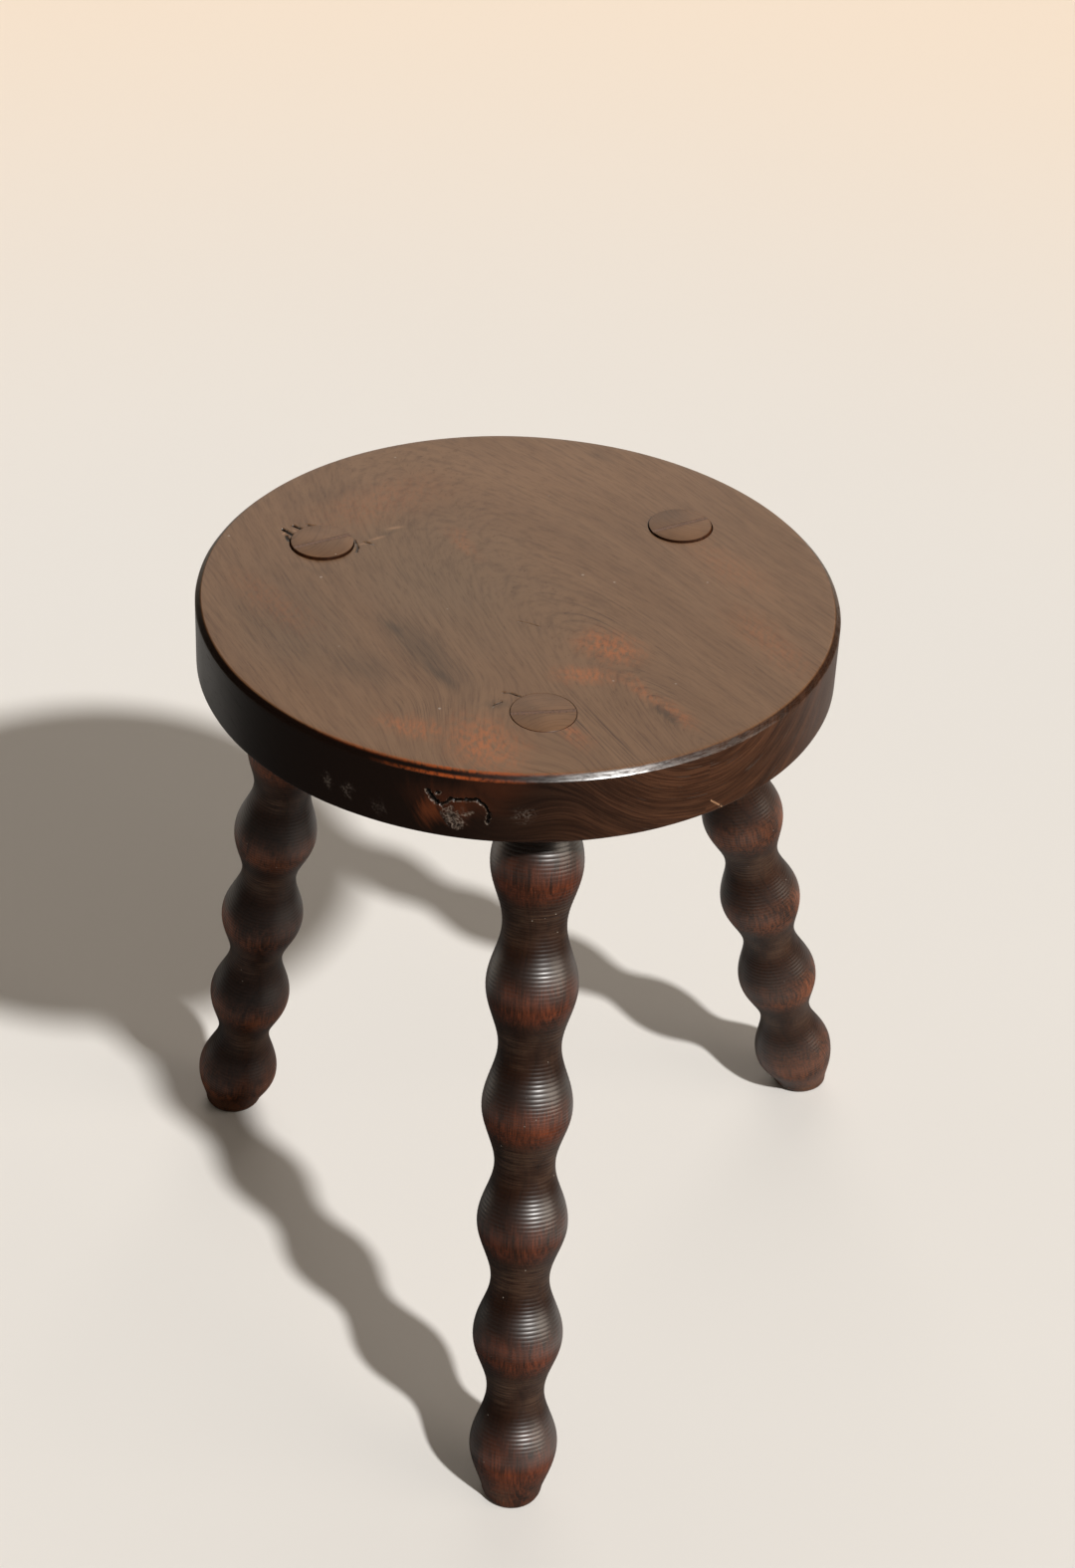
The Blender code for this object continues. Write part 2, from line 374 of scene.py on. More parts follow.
def place_effect(tree, effect, sockets):
    return add_node(tree, "ShaderNodeGroup", sockets, node_tree=effect).outputs


def new_finish(name):
    material = bpy.data.materials.new(name)
    material.use_nodes = True
    return material, material.node_tree, material.node_tree.nodes["Principled BSDF"]


def patches(tree, place, spots, height=30):
    """Soft spots: each has its middle, length and width in millimetres, bearing in degrees, and strength."""
    total = None
    for spot, length, width, bearing, strength in spots:
        size = (length / 2000, width / 2000, height / 2000)
        off = vector_calc(tree, "LENGTH", centre_on(tree, place, spot, (0.0, 0.0, bearing), size))
        share = calc(tree, "MULTIPLY", rest_of(tree, ramp(tree, off, 0.0, 1.0)), strength)
        total = share if total is None else calc(tree, "MAXIMUM", total, share)
    return total


seat_finish, tree, shader = new_finish("seat_wood")
pith_at, pith_turned = (0.082, -0.113), (0.0, 12.0, -57.0)
pith_height, pith_height_for_edge = 0.001, 0.047
ring_width = 0.0017
place = vector_calc(tree, "SUBTRACT", add_node(tree, "ShaderNodeTexCoord").outputs["Object"], seat_middle)
along_grain = centre_on(tree, place, (*pith_at, pith_height), pith_turned)
branch = [(on_edge(-98, 18) + Vector((0.006, 0.010, 0.0)), 140, 96, 80, -0.030)]
swelling = patches(tree, place, branch, 100)
grain = place_effect(tree, in_the_tree, {"Place": along_grain, "Swelling": swelling, "Wander": 0.010})["Grain"]
rings = place_effect(tree, growth_rings, {"Grain": grain, "Ring Width": ring_width})
pores = place_effect(tree, open_pores, {"Grain": grain, "Fineness": 1300.0, "Share": 0.40})["Pores"]
streaks = clouds(tree, stretch(tree, grain, (0.03, 1.0, 0.5)), 700.0, 4.0, 0.65).outputs[0]
flames = clouds(tree, stretch(tree, place, (1.0, 0.40, 1.0)), 560.0, 4.0, 0.62).outputs[0]
drift = clouds(tree, stretch(tree, grain, (0.25, 1.0, 1.0)), 140.0, 3.0, 0.6).outputs[1]
ragged = wander(tree, place, drift, 0.014)
parts = split(tree, place)
on_upper_face = ramp(tree, parts["Z"], -0.0007, -0.00025)
to_left = vector_calc(tree, "DOT_PRODUCT", place, (-0.866, -0.5, 0.0))

# Top: brown, a little greyer over the left and middle and lighter towards the back and right as painted sheen,
# with soft streaks, ring lines and pores
brown, dark_brown = (0.177, 0.095, 0.0470, 1.0), (0.151, 0.078, 0.0372, 1.0)
greyed_brown, painted_sheen_brown = (0.144, 0.087, 0.0475, 1.0), (0.222, 0.120, 0.061, 1.0)
streak_shade, line_shade = (0.70, 0.66, 0.63, 1.0), (0.34, 0.29, 0.26, 1.0)
face_colour = tint(tree, rings["Band"], brown, dark_brown)
# Greyer, slightly darker brown over the left and middle of the top
greyer_patches = patches(tree, ragged, [(on_top(-35, 5), 200, 130, -60, 0.8), (on_top(-90, -40), 120, 80, -50, 0.5)])
face_colour = tint(tree, greyer_patches, face_colour, greyed_brown)
# Painted sheen: the top is tinted lighter brown toward the back and the right
painted_sheen_back = patches(tree, ragged, [(on_top(20, 105), 230, 110, 0, 0.5), (on_top(95, 20), 160, 70, -60, 0.4)])
face_colour = tint(tree, painted_sheen_back, face_colour, painted_sheen_brown)
face_colour = tint(tree, ramp(tree, streaks, 0.42, 0.72), face_colour, streak_shade, "MULTIPLY")
clear_lines = patches(tree, ragged, [(on_top(35, -15), 90, 50, -45, 0.6), (on_top(35, -105), 90, 50, -50, 0.9),
                                     (on_top(60, -75), 60, 30, -52, 0.6), (on_top(-30, -95), 60, 30, 0, 0.5)])
line_share = calc(tree, "MULTIPLY", rings["Line"], calc(tree, "ADD", 0.20, clear_lines))
face_colour = tint(tree, line_share, face_colour, line_shade, "MULTIPLY")

# Edge: dark brown, with painted shade that makes it nearly black on the left, with the fibres torn along the
# rings, pale dust in the open ones, and red where the stain is thin by the knot. Its rings lie in wide arcs, as
# if the pith were higher up.
edge_brown, edge_dark_brown = (0.088, 0.036, 0.017, 1.0), (0.056, 0.023, 0.011, 1.0)
fibre_shade, edge_line_shade = (0.48, 0.43, 0.40, 1.0), (0.30, 0.26, 0.24, 1.0)
black_painted_shade, thin_red_stain = (0.0085, 0.0034, 0.0017, 1.0), (0.135, 0.030, 0.0060, 1.0)
pale_dirt_and_glint, chamfer_shade = (0.135, 0.112, 0.094, 1.0), (0.45, 0.42, 0.40, 1.0)
along_edge = centre_on(tree, place, (*pith_at, pith_height_for_edge), pith_turned)
edge_grain = place_effect(tree, in_the_tree, {
    "Place": along_edge, "Swelling": swelling, "Wander": 0.006})["Grain"]
edge_rings = place_effect(tree, growth_rings, {"Grain": edge_grain, "Ring Width": ring_width})
fibres = clouds(tree, stretch(tree, edge_grain, (0.05, 1.0, 0.035)), 1300.0, 3.0, 0.55).outputs[0]
edge_colour = tint(tree, edge_rings["Band"], edge_brown, edge_dark_brown)
edge_colour = tint(tree, ramp(tree, fibres, 0.36, 0.62), edge_colour, fibre_shade, "MULTIPLY")
line_share = calc(tree, "MULTIPLY", edge_rings["Line"], 0.40)
edge_colour = tint(tree, line_share, edge_colour, edge_line_shade, "MULTIPLY")
# Painted shade: the left of the edge is tinted nearly black
edge_colour = tint(tree, ramp(tree, to_left, -0.010, 0.095), edge_colour, black_painted_shade)
by_knot = patches(tree, ragged, [
    (on_edge(-102.6, 19.4), 16, 30, -14, 0.60), (on_edge(-97.2, 16.4), 12, 30, -7, 0.40),
    (on_edge(-98, 14), 60, 30, -7, 0.25), (on_edge(-92, 5), 40, 30, 0, 0.20)], 24)
edge_colour = tint(tree, by_knot, edge_colour, thin_red_stain)
crumbs = clouds(tree, place, 1100.0, 3.0, 0.7).outputs[0]
# Crumbly dust about the knot; the two narrow spots at -121.0 and -117.6 degrees are painted glints
dust_and_glint_spots = patches(tree, ragged, [
    (on_edge(-98.4, 22), 14, 30, -8, 1.0), (on_edge(-87, 19.5), 14, 30, 3, 0.6),
    (on_edge(-121.0, 20.6), 7, 30, -31, 0.6), (on_edge(-117.6, 22.0), 5, 30, -28, 0.5),
    (on_edge(-111.5, 25.0), 8, 30, -22, 0.25)], 12)
open_fibres = calc(tree, "MULTIPLY", ramp(tree, fibres, 0.62, 0.72),
                   rest_of(tree, ramp(tree, to_left, -0.02, 0.05)))
dust_and_glints = calc(tree, "ADD", calc(tree, "MULTIPLY", open_fibres, 0.45),
             calc(tree, "MULTIPLY", dust_and_glint_spots, ramp(tree, crumbs, 0.46, 0.60)))
edge_colour = tint(tree, calc(tree, "MINIMUM", dust_and_glints, 0.45), edge_colour, pale_dirt_and_glint)
on_chamfer = ramp(tree, parts["Z"], -0.0030, -0.0022)
edge_colour = tint(tree, calc(tree, "MULTIPLY", on_chamfer, 0.6), edge_colour, chamfer_shade, "MULTIPLY")
colour = tint(tree, on_upper_face, edge_colour, face_colour)
colour = tint(tree, calc(tree, "MULTIPLY", pores, 0.40), colour, line_shade, "MULTIPLY")

# Places where the stain is worn through to the orange wood, and where old dirt has darkened it
worn_orange, dirt_shade = (0.360, 0.105, 0.026, 1.0), (0.40, 0.42, 0.43, 1.0)
worn = [(on_top(40, -41), 48, 34, -35, 0.85), (on_top(30, -64), 40, 22, 0, 0.75),
        (on_top(-10, -117), 64, 46, -60, 0.8), (on_top(54, -74), 54, 12, -55, 0.5),
        (on_top(68, -88), 44, 12, -55, 0.5), (on_top(-40, -108), 44, 22, -20, 0.6),
        (on_top(24, -104), 44, 14, -55, 0.5), (on_top(108, -30), 90, 30, -60, 0.3),
        (on_top(-104, -20), 90, 30, -50, 0.3), (on_top(-66, 70), 110, 50, 40, 0.25),
        (on_top(-27, 38), 44, 14, -60, 0.35), (on_top(90, 30), 90, 30, -50, 0.2)]
dirty = [(on_top(-38, -52), 100, 30, -54, 0.65), (on_top(-51, -37), 40, 15, -58, 0.90),
         (on_top(-32, -66), 54, 17, -54, 0.90), (on_top(-100, -30), 160, 80, -70, 0.36),
         (on_top(-60, 42), 16, 6, 30, 0.5), (on_top(-62, -66), 56, 36, -30, 0.45),
         (on_top(-7, -88), 20, 10, 0, 0.6), (on_top(63, -90), 26, 9, -50, 0.8),
         (on_top(34, 122), 26, 14, -20, 0.3), (on_top(-84, 76), 60, 18, 30, 0.3),
         (on_top(-90, 10), 40, 12, -10, 0.3)]
worn_share = calc(tree, "MULTIPLY", patches(tree, ragged, worn), ramp(tree, flames, 0.30, 0.68))
colour = tint(tree, calc(tree, "MULTIPLY", worn_share, on_upper_face), colour, worn_orange)
dirty_share = calc(tree, "MULTIPLY", patches(tree, ragged, dirty), on_upper_face)
colour = tint(tree, dirty_share, colour, dirt_shade, "MULTIPLY")

# The arris between top and chamfer is rubbed to a thin orange line, most of all at the front, and so is a
# stretch of the one below the chamfer
arris_orange = (0.300, 0.062, 0.012, 1.0)
reach = vector_calc(tree, "LENGTH", stretch(tree, place, (1.0, 1.0, 0.0)))
arris = calc(tree, "MULTIPLY", ramp(tree, reach, seat_radius - 0.0038, seat_radius - 0.0030),
             ramp(tree, parts["Z"], -0.0012, -0.0004))
rubbed_front = patches(tree, ragged, [
    (on_edge(-97, 0), 110, 120, -7, 0.80), (on_edge(-112, 0), 100, 80, -22, 0.35)], 60)
arris = calc(tree, "MULTIPLY", arris, calc(tree, "ADD", 0.04, rubbed_front))
below = hump(tree, parts["Z"], -0.0036, -0.0028, -0.0024, -0.0017)
below = calc(tree, "MULTIPLY", below, patches(tree, ragged, [(on_edge(-99, 2), 80, 40, -9, 0.9)], 60))
arris = calc(tree, "MAXIMUM", arris, below)
arris = calc(tree, "MULTIPLY", arris, ramp(tree, flames, 0.25, 0.6))
colour = tint(tree, arris, colour, arris_orange)

# Torn places show bare wood; pressed marks are dark inside with dirt and painted shade, with painted glints on
# crumbly rims
rim_glint_grey, hollow_shade_and_dirt = (0.165, 0.130, 0.105, 1.0), (0.0070, 0.0042, 0.0028, 1.0)
bare_wood, pale_dust = (0.400, 0.225, 0.125, 1.0), (0.55, 0.50, 0.44, 1.0)
sunk = add_node(tree, "ShaderNodeAttribute", attribute_name="sunk").outputs["Fac"]
torn_open = patches(tree, place, [
    (on_top(-105.6, 38.6), 4.5, 2.0, 60, 0.6), (on_top(-101.2, 41.2), 4.0, 1.6, -30, 0.5),
    (on_top(-57, 48), 12, 3.5, 22, 0.42), (on_top(-64, 38.5), 15, 3.0, 35, 0.36),
    (on_top(-70, 33), 8, 2.4, 30, 0.36)], 6)
check = [(on_edge(-53.3 + 0.27 * step, 26.3 + 0.57 * step), 0.9, 8, 38, 1.0) for step in range(11)]
torn_open = calc(tree, "MAXIMUM", torn_open, ramp(tree, patches(tree, place, check, 1.6), 0.1, 0.6))
rim = calc(tree, "MULTIPLY", ramp(tree, sunk, 0.00002, 0.00014), ramp(tree, crumbs, 0.40, 0.60))
# Painted glints: pale broken rims round the pressed marks
colour = tint(tree, calc(tree, "MULTIPLY", rim, 0.75), colour, rim_glint_grey)
# Painted shade with dirt: the pressed marks go nearly black inside
colour = tint(tree, ramp(tree, sunk, 0.00030, 0.00075), colour, hollow_shade_and_dirt)
colour = tint(tree, torn_open, colour, bare_wood)
specks = place_effect(tree, dust, {"Place": place, "Fineness": 70.0})["Specks"]
colour = tint(tree, calc(tree, "MULTIPLY", specks, 0.4), colour, pale_dust)
tree.links.new(colour, shader.inputs["Base Color"])

# The wax is thin on the top and thick on the chamfer, where it is scuffed, and dull on the left; the edge
# below has none
polish = clouds(tree, place, 30.0, 3.0).outputs[0]
roughness = calc(tree, "ADD", 0.28, calc(tree, "MULTIPLY", polish, 0.14))
roughness = calc(tree, "ADD", roughness, calc(tree, "MULTIPLY", pores, 0.10))
tree.links.new(roughness, shader.inputs["Roughness"])
relief = calc(tree, "ADD", calc(tree, "MULTIPLY", pores, -0.6), calc(tree, "MULTIPLY", streaks, 0.5))
torn = calc(tree, "MULTIPLY", rest_of(tree, on_upper_face), calc(tree, "MULTIPLY", fibres, 2.0))
relief = calc(tree, "ADD", relief, torn)
bump = add_node(tree, "ShaderNodeBump", {"Strength": 0.5, "Distance": 0.00003, "Height": relief})
tree.links.new(bump.outputs[0], shader.inputs["Normal"])
shader.inputs["Specular IOR Level"].default_value = 0.25
shader.inputs["Coat Roughness"].default_value = 0.28
shader.inputs["Coat IOR"].default_value = 1.85
waxed = ramp(tree, parts["Z"], -0.0032, -0.0022)
by_edge = ramp(tree, reach, seat_radius - 0.0034, seat_radius - 0.0022)
scuffs = clouds(tree, stretch(tree, place, (0.15, 0.15, 1.0)), 1500.0, 4.0, 0.65).outputs[0]
by_edge = calc(tree, "MULTIPLY", by_edge, ramp(tree, scuffs, 0.36, 0.60))
dull_left = calc(tree, "MULTIPLY", ramp(tree, to_left, 0.02, 0.09), 0.8)
by_edge = calc(tree, "MULTIPLY", by_edge, rest_of(tree, dull_left))
waxed = calc(tree, "MULTIPLY", waxed, calc(tree, "ADD", 0.14, calc(tree, "MULTIPLY", by_edge, 0.86)))
tree.links.new(waxed, shader.inputs["Coat Weight"])
seat.data.materials.clear()
seat.data.materials.append(seat_finish)
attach(seat, "root")
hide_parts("seat")

# Each leg is one stick turned on a lathe into six bobbins, stained almost black and waxed. Its tenon goes
# up through the seat and is split by a wedge; the last bobbin is cut level to stand on the floor.
bobbin_count = 6
bobbin_radius, bobbin_margin, bobbin_difference = 0.02035, 0.00015, 0.0003
top_neck_radius, foot_neck_radius, neck_difference = 0.0142, 0.0127, 0.0002
foot_flat_radius, foot_rounding, foot_trim = 0.0107, 0.0045, 0.0032
groove_pitch, groove_depth = 0.0018, 0.00012
shoulder_gap, tenon_softness, leg_unevenness = 0.0003, 0.0003, 0.00013
wedge_thickness, wedge_tip, wedge_depth = 0.0021, 0.0009, 0.0240
kerf_gap = 0.00012
stick_spacing = 0.7
knock_bearing, knock_reach, knock_level = -138, 0.0199, -0.1805
knock_faces_out, knock_faces_up = 0.9586, -0.285
knock_low, knock_high = -0.2005, -0.170


def leg_levels(leg):
    """Slope of a level cut across the leg, and the levels of its shoulder and foot on its own axis."""
    splay = math.radians(leg["splay"])
    slope = -math.tan(splay)
    shoulder = -(seat_thickness + shoulder_gap) / math.cos(splay) + top_neck_radius * slope
    return slope, shoulder, -seat_middle.z / math.cos(splay)


def turned_radius(level, shoulder, pitch, seed):
    """Wave of bobbins on thinning necks, with the tool's grooves and the turner's small differences."""
    down = (shoulder - level) / pitch
    neck = top_neck_radius + (foot_neck_radius - top_neck_radius) * down / bobbin_count
    neck += neck_difference * noise.noise(Vector((round(down), seed, 0.5)))
    lot = noise.noise(Vector((math.floor(down), seed, 9.5)))
    belly = bobbin_radius - bobbin_margin - bobbin_difference * (1.0 + lot)
    swell = (1.0 - math.cos(2.0 * math.pi * down)) / 2
    turn, across = divmod(level / groove_pitch + 0.4 * noise.noise(Vector((level * 90.0, seed, 0.0))), 1.0)
    groove = (2.0 * across - 1.0) ** 2 * (0.85 + 0.5 * noise.noise(Vector((turn * 0.37, 0.5, seed))))
    return neck + (belly - neck) * swell - groove_depth * groove


def wedge_body(leg, slope, length, gap, top, depth):
    """Slip across the tenon, thinning downwards from a level top."""
    body = bmesh.new()
    bmesh.ops.create_cube(body, size=1.0)
    turn = math.radians(leg["wedge_along"] - leg["leans_to"])
    for point in body.verts:
        along = point.co.x * length
        level = -depth
        if point.co.z > 0.0:
            level = top + slope * (along * math.cos(turn) - point.co.y * wedge_thickness * math.sin(turn))
        thickness = wedge_thickness + (wedge_thickness - wedge_tip) * level / wedge_depth + 2.0 * gap
        point.co = (along, point.co.y * thickness, level)
    bmesh.ops.rotate(body, matrix=Matrix.Rotation(turn, 3, "Z"), cent=(0, 0, 0), verts=body.verts)
    return body


leg_finish, tree, shader = new_finish("leg_wood")
stick = add_node(tree, "ShaderNodeAttribute", attribute_name="stick").outputs["Vector"]
bobbin = add_node(tree, "ShaderNodeAttribute", attribute_name="bobbin").outputs["Fac"]
along_grain = centre_on(tree, stick, (0.024, 0.009, 0.0), (0.0, -90.0, 0.0))
grain = place_effect(tree, in_the_tree, {"Place": along_grain, "Swelling": 0.0, "Wander": 0.008})["Grain"]
rings = place_effect(tree, growth_rings, {"Grain": grain, "Ring Width": 0.0021})
pores = place_effect(tree, open_pores, {"Grain": grain, "Fineness": 1300.0, "Share": 0.40})["Pores"]
streaks = clouds(tree, stretch(tree, grain, (0.07, 1.0, 0.8)), 1300.0, 3.0, 0.6).outputs[0]
blotches = clouds(tree, stick, 60.0, 3.0).outputs[0]

# Nearly black stain, rubbed through to red wood on the bellies and on the foot, brighter on the rear legs,
# where painted light is added to the red, and grey in the necks with old wax and a painted reflection of the
# floor
black_brown, black = (0.0220, 0.0078, 0.0031, 1.0), (0.0135, 0.0049, 0.0021, 1.0)
front_red, rear_red_and_painted_light = (0.160, 0.034, 0.0090, 1.0), (0.300, 0.080, 0.0210, 1.0)
ring_shade, pore_shade = (0.45, 0.38, 0.34, 1.0), (0.30, 0.26, 0.24, 1.0)
wax_and_reflection_grey, pale_dust = (0.088, 0.048, 0.027, 1.0), (0.60, 0.54, 0.47, 1.0)
phase = calc(tree, "FRACT", bobbin)
belly = hump(tree, phase, 0.28, 0.50, 0.58, 0.80)
belly = calc(tree, "MAXIMUM", belly, calc(tree, "MULTIPLY", ramp(tree, bobbin, 5.15, 5.5), 0.8))
rubbed = calc(tree, "ADD", calc(tree, "MULTIPLY", streaks, 0.7), calc(tree, "MULTIPLY", blotches, 0.5))
rubbed = ramp(tree, rubbed, 0.40, 0.86)
outer = ramp(tree, split(tree, stick)["X"], -0.006, 0.017)
belly = calc(tree, "MULTIPLY", belly, calc(tree, "ADD", 0.42, calc(tree, "MULTIPLY", outer, 0.50)))
rubbed = calc(tree, "MULTIPLY", rubbed, calc(tree, "ADD", 0.06, belly))
in_neck = ramp(tree, calc(tree, "ABSOLUTE", calc(tree, "SUBTRACT", phase, 0.42)), 0.24, 0.44)
turning = clouds(tree, stretch(tree, stick, (0.05, 0.05, 1.0)), 1500.0, 2.0).outputs[0]
wax_and_reflection = calc(tree, "MULTIPLY", calc(tree, "MULTIPLY", in_neck, ramp(tree, blotches, 0.30, 0.65)),
            ramp(tree, turning, 0.30, 0.70))
colour = tint(tree, rings["Band"], black_brown, black)
whole = add_node(tree, "ShaderNodeTexCoord").outputs
place = whole["Object"]
parts = split(tree, place)
to_rear = ramp(tree, parts["Y"], -0.03, 0.05)
# The rear legs' brighter red is partly painted light
red = tint(tree, to_rear, front_red, rear_red_and_painted_light)
colour = tint(tree, rubbed, colour, red)
colour = tint(tree, calc(tree, "MULTIPLY", rings["Line"], 0.5), colour, ring_shade, "MULTIPLY")
colour = tint(tree, calc(tree, "MULTIPLY", pores, 0.5), colour, pore_shade, "MULTIPLY")
# The grey in the necks is old wax together with a painted reflection of the floor
colour = tint(tree, calc(tree, "MULTIPLY", wax_and_reflection, 0.70), colour, wax_and_reflection_grey)

# The tenon's end is brown like the seat
end_brown, end_dark_brown = (0.176, 0.089, 0.042, 1.0), (0.130, 0.066, 0.032, 1.0)
end_ring_shade = (0.40, 0.36, 0.33, 1.0)
facing_up = split(tree, whole["Normal"])["Z"]
tenon_end = calc(tree, "MULTIPLY", ramp(tree, parts["Z"], seat_middle.z - 0.0006, seat_middle.z),
                 ramp(tree, facing_up, 0.55, 0.90))
end_colour = tint(tree, ramp(tree, blotches, 0.35, 0.65), end_brown, end_dark_brown)
end_colour = tint(tree, calc(tree, "MULTIPLY", rings["Line"], 0.45), end_colour, end_ring_shade, "MULTIPLY")
colour = tint(tree, tenon_end, colour, end_colour)
specks = place_effect(tree, dust, {"Place": place, "Fineness": 210.0})["Specks"]
colour = tint(tree, calc(tree, "MULTIPLY", specks, 0.8), colour, pale_dust)
tree.links.new(colour, shader.inputs["Base Color"])

# The wax shines on the upper side of each bobbin, less so on the rear legs
roughness = calc(tree, "ADD", 0.36, calc(tree, "MULTIPLY", in_neck, 0.04))
roughness = calc(tree, "ADD", roughness, calc(tree, "MULTIPLY", blotches, 0.06))
roughness = calc(tree, "ADD", roughness, calc(tree, "MULTIPLY", pores, 0.10))
tree.links.new(roughness, shader.inputs["Roughness"])
relief = calc(tree, "ADD", calc(tree, "MULTIPLY", pores, -0.7), calc(tree, "MULTIPLY", turning, 0.6))
bump = add_node(tree, "ShaderNodeBump", {"Strength": 0.6, "Distance": 0.00003, "Height": relief})
tree.links.new(bump.outputs[0], shader.inputs["Normal"])
shader.inputs["Specular IOR Level"].default_value = 0.40
shader.inputs["Coat Roughness"].default_value = 0.35
shader.inputs["Coat IOR"].default_value = 2.2
polished = hump(tree, phase, 0.12, 0.30, 0.46, 0.60)
polished = calc(tree, "MULTIPLY", polished, ramp(tree, bobbin, -0.05, 0.05))
polished = calc(tree, "MULTIPLY", polished, rest_of(tree, calc(tree, "MULTIPLY", to_rear, 0.65)))
tree.links.new(polished, shader.inputs["Coat Weight"])

# Without a set seed, noise_vector would differ from run to run
noise.seed_set(7)
for seed, (leg_name, leg) in enumerate(legs.items()):
    slope, shoulder, foot = leg_levels(leg)
    pitch = (shoulder - foot + foot_trim) / bobbin_count
    foot_top, last_belly = foot + foot_rounding, foot - foot_trim + pitch / 2
    tenon_top = leg["proud"] / math.cos(math.radians(leg["splay"]))
    stick_body = bmesh.new()
    levels = [(foot, foot_flat_radius), (shoulder, top_neck_radius), (shoulder, tenon_radius),
              (tenon_top, tenon_radius)]
    outline = [stick_body.verts.new((reach, 0.0, level)) for level, reach in levels]
    lines = [stick_body.edges.new(ends) for ends in zip(outline, outline[1:])]
    bmesh.ops.subdivide_edges(stick_body, edges=lines[:1], cuts=1400)
    for point in stick_body.verts:
        level = point.co.z
        if foot_top < level < shoulder - 1e-6:
            point.co.x = turned_radius(level, shoulder, pitch, seed)
        elif foot < level <= foot_top:
            rise = math.sqrt(1.0 - ((foot_top - level) / foot_rounding) ** 2)
            widest = turned_radius(foot_top, shoulder, pitch, seed)
            point.co.x = foot_flat_radius + (widest - foot_flat_radius) * rise
    spin_round(stick_body, steps=64)
    bmesh.ops.holes_fill(stick_body, edges=[edge for edge in stick_body.edges if edge.is_boundary], sides=0)
    bmesh.ops.bevel(stick_body, geom=ring_edges(stick_body, [(tenon_radius, tenon_top)]), offset=tenon_softness,
                    offset_type="OFFSET", segments=2, profile=0.5, affect="EDGES", material=-1)
    bmesh.ops.recalc_face_normals(stick_body, faces=stick_body.faces)
    # A little uneven, as handwork is, and cut level at the foot and at the tenon's end
    for point in stick_body.verts:
        level = point.co.z
        if foot_top < level < shoulder - 0.001:
            point.co += leg_unevenness * noise.noise_vector(point.co * 70.0 + Vector((seed, 0.0, 0.0)))
        share = 1.0
        if level < shoulder / 2:
            share = min(max((last_belly - level) / (last_belly - foot_top), 0.0), 1.0)
        point.co.z += share * slope * point.co.x
    if leg_name == "rear_left":
        # An old knock has left a flat under its third bobbin
        bearing = math.radians(knock_bearing)
        facing = Vector((knock_faces_out * math.cos(bearing), knock_faces_out * math.sin(bearing),
                         knock_faces_up))
        knock = Vector((knock_reach * math.cos(bearing), knock_reach * math.sin(bearing), knock_level))
        for point in stick_body.verts:
            over = (point.co - knock).dot(facing)
            if over > 0.0 and knock_low < point.co.z < knock_high:
                point.co -= facing * over
    piece = add_object("leg_" + leg_name + "_turned", stick_body)
    slot = wedge_body(leg, slope, 4 * tenon_radius, kerf_gap, tenon_top + tenon_radius, wedge_depth + kerf_gap)
    cut_away(piece, [add_object("kerf_" + leg_name, slot)])
    # Where each point lies in its own stick, and how many bobbins down, go with the mesh for the finish
    mesh = piece.data
    mesh.attributes.new("stick", "FLOAT_VECTOR", "POINT")
    mesh.attributes.new("bobbin", "FLOAT", "POINT")
    places = [value for point in mesh.vertices
              for value in (point.co.x, point.co.y, point.co.z + stick_spacing * seed)]
    counts = [(shoulder - point.co.z) / pitch for point in mesh.vertices]
    mesh.attributes["stick"].data.foreach_set("vector", places)
    mesh.attributes["bobbin"].data.foreach_set("value", counts)
    mesh.transform(leg_placing(leg))
    shade_smooth(mesh)
    mesh.materials.clear()
    mesh.materials.append(leg_finish)
    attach(piece, "root")
    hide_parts("leg_" + leg_name)

# A thin slip of the same wood is driven into a kerf across each tenon and trimmed flush with it,
# which spreads the tenon and locks the leg in the seat.
wedge_finish, tree, shader = new_finish("wedge_wood")
wedge_brown, wedge_dark_brown = (0.150, 0.070, 0.036, 1.0), (0.070, 0.031, 0.017, 1.0)
place = add_node(tree, "ShaderNodeTexCoord").outputs["Object"]
fibres = clouds(tree, stretch(tree, place, (1.0, 1.0, 0.04)), 1100.0, 3.0, 0.6).outputs[0]
colour = tint(tree, ramp(tree, fibres, 0.35, 0.70), wedge_brown, wedge_dark_brown)
tree.links.new(colour, shader.inputs["Base Color"])
tree.links.new(calc(tree, "ADD", 0.32, calc(tree, "MULTIPLY", fibres, 0.16)), shader.inputs["Roughness"])
bump = add_node(tree, "ShaderNodeBump", {"Strength": 0.4, "Distance": 0.00008, "Height": fibres})
tree.links.new(bump.outputs[0], shader.inputs["Normal"])
for leg_name in legs:
    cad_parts["wedge_" + leg_name].material_slots[0].material = wedge_finish

# A plain pale floor under plain soft light: a lamp at the front right, wide pale screens of light on the
# right and behind, and the room's own even light. The camera looks down over the front leg.
floor_body = bmesh.new()
bmesh.ops.create_grid(floor_body, x_segments=8, y_segments=8, size=12.0)
floor = add_object("floor", floor_body)
floor_paint, tree, shader = new_finish("floor_paint")
grey_paint, pale_paint = (0.790, 0.780, 0.762, 1.0), (0.815, 0.805, 0.787, 1.0)
far_paint, nearly_black = (0.920, 0.795, 0.665, 1.0), (0.02, 0.02, 0.02, 1.0)
place = add_node(tree, "ShaderNodeTexCoord").outputs["Object"]
unevenness = clouds(tree, place, 3.0, 4.0).outputs[0]
paint = tint(tree, unevenness, grey_paint, pale_paint)
off = vector_calc(tree, "LENGTH", place)
paint = tint(tree, ramp(tree, off, 0.6, 1.9), paint, far_paint)

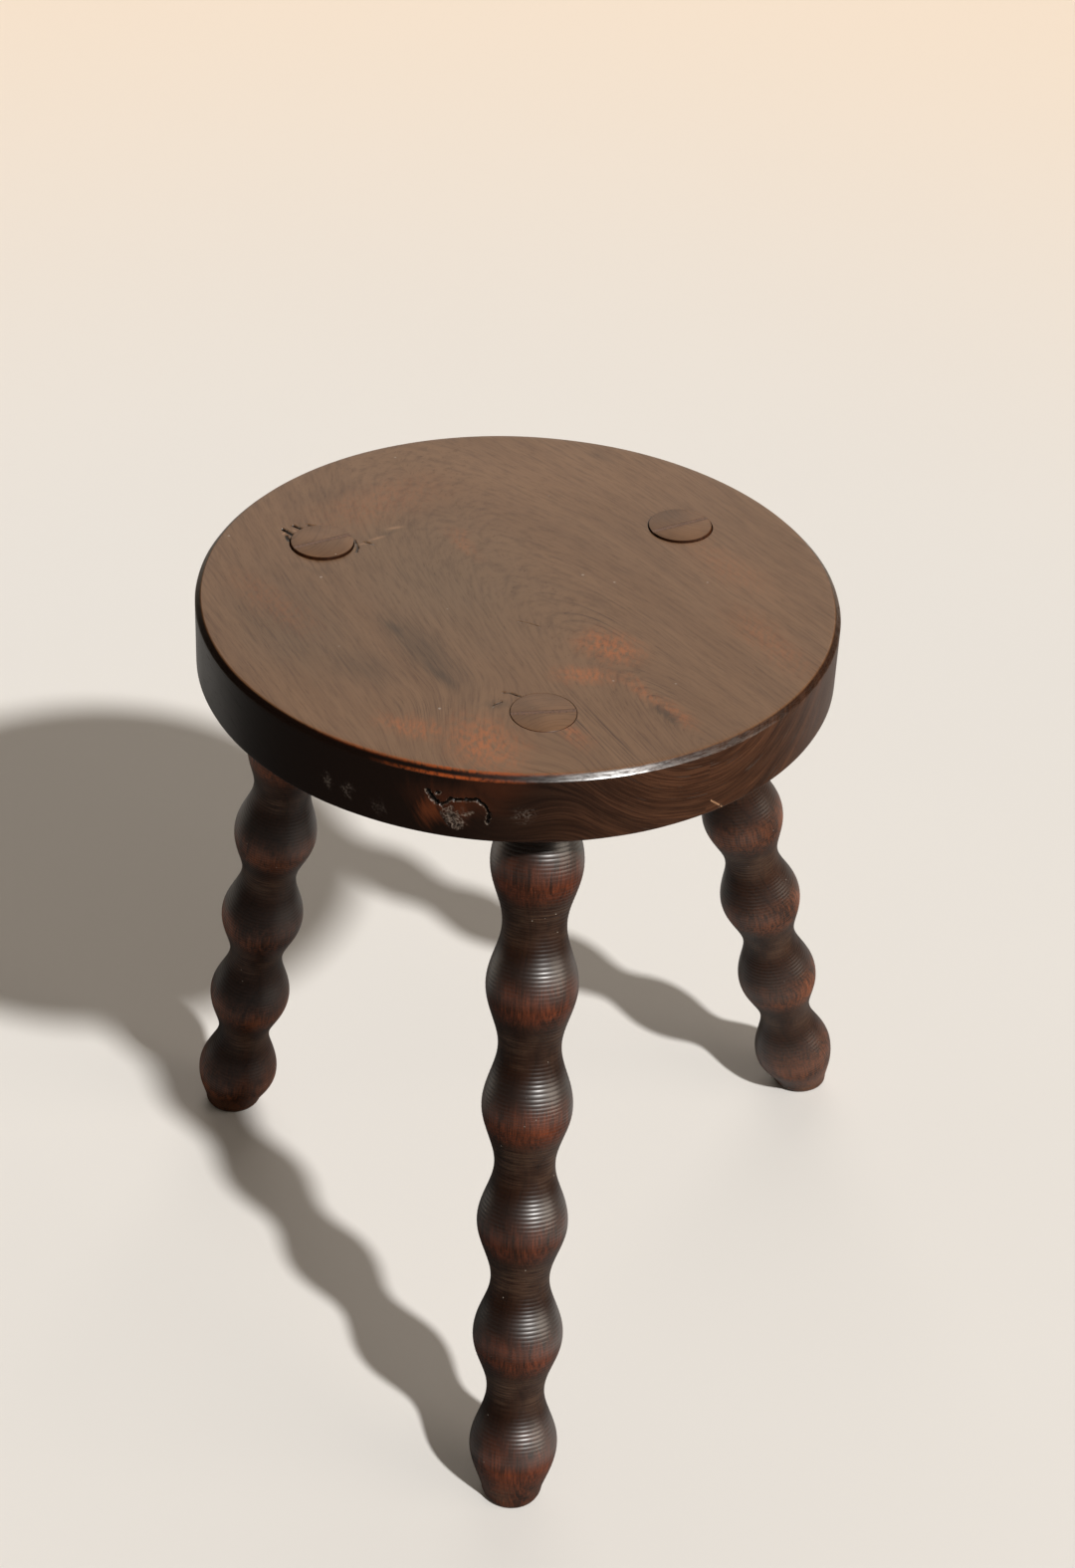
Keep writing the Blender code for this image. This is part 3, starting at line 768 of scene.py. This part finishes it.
# In the polish the floor shows dark, least so behind the stool and close by on its lit side, which keeps the
# dark wood deep
parts = split(tree, place)
behind = ramp(tree, parts["Y"], 0.0, 0.4)
sunny = calc(tree, "MULTIPLY", ramp(tree, parts["X"], -0.10, 0.15), rest_of(tree, ramp(tree, off, 0.2, 0.45)))
shown = calc(tree, "MULTIPLY", calc(tree, "MAXIMUM", behind, sunny), 0.45)
mirrored = add_node(tree, "ShaderNodeLightPath").outputs["Is Glossy Ray"]
dimmed = calc(tree, "MULTIPLY", calc(tree, "SUBTRACT", 0.95, shown), mirrored)
tree.links.new(tint(tree, dimmed, paint, nearly_black), shader.inputs["Base Color"])
shader.inputs["Roughness"].default_value = 0.75
shader.inputs["Specular IOR Level"].default_value = 0.25
floor.data.materials.append(floor_paint)


def add_lamp(name, place, strength, width, colour):
    """A far lamp in the direction of a place, as wide as this many degrees of the sky."""
    lamp = bpy.data.lights.new(name, "SUN")
    lamp.energy = strength
    lamp.angle = math.radians(width)
    lamp.color = colour
    holder = bpy.data.objects.new(name, lamp)
    bpy.context.scene.collection.objects.link(holder)
    holder.location = place
    aimed_at = Vector((0.0, 0.0, 0.3))
    holder.rotation_euler = (aimed_at - Vector(place)).to_track_quat("-Z", "Y").to_euler()


add_lamp("front_right_lamp", (1.29, -1.53, 2.20), 3.35, 3.0, (1.0, 0.97, 0.93))
add_lamp("right_screen", (2.2, -0.6, 1.1), 0.60, 40.0, (1.0, 0.86, 0.72))
add_lamp("back_screen", (0.0, 2.3, 1.8), 0.60, 50.0, (1.0, 0.90, 0.80))

# The room is pale to look at, but it adds little light and little glare
room_colour = (1.0, 0.86, 0.70, 1.0)
room_light, brighter_seen, darker_mirrored = 0.13, 0.80, 0.12
world = bpy.data.worlds.new("room")
bpy.context.scene.world = world
world.use_nodes = True
tree = world.node_tree
rays = add_node(tree, "ShaderNodeLightPath").outputs
strength = calc(tree, "ADD", room_light, calc(tree, "MULTIPLY", rays["Is Camera Ray"], brighter_seen))
strength = calc(tree, "SUBTRACT", strength, calc(tree, "MULTIPLY", rays["Is Glossy Ray"], darker_mirrored))
tree.nodes["Background"].inputs["Color"].default_value = room_colour
tree.links.new(strength, tree.nodes["Background"].inputs["Strength"])
bpy.context.scene.view_settings.view_transform = "Standard"

camera = bpy.data.cameras.new("camera")
camera.lens = 72.03
holder = bpy.data.objects.new("camera", camera)
bpy.context.scene.collection.objects.link(holder)
stands_at = (0.0028, -1.1300, 1.0874)
pitched_down, rolled = math.radians(35.38), math.radians(2.883)
holder.matrix_world = (Matrix.Translation(stands_at) @ Matrix.Rotation(math.pi / 2 - pitched_down, 4, "X")
                       @ Matrix.Rotation(rolled, 4, "Z"))
bpy.context.scene.camera = holder
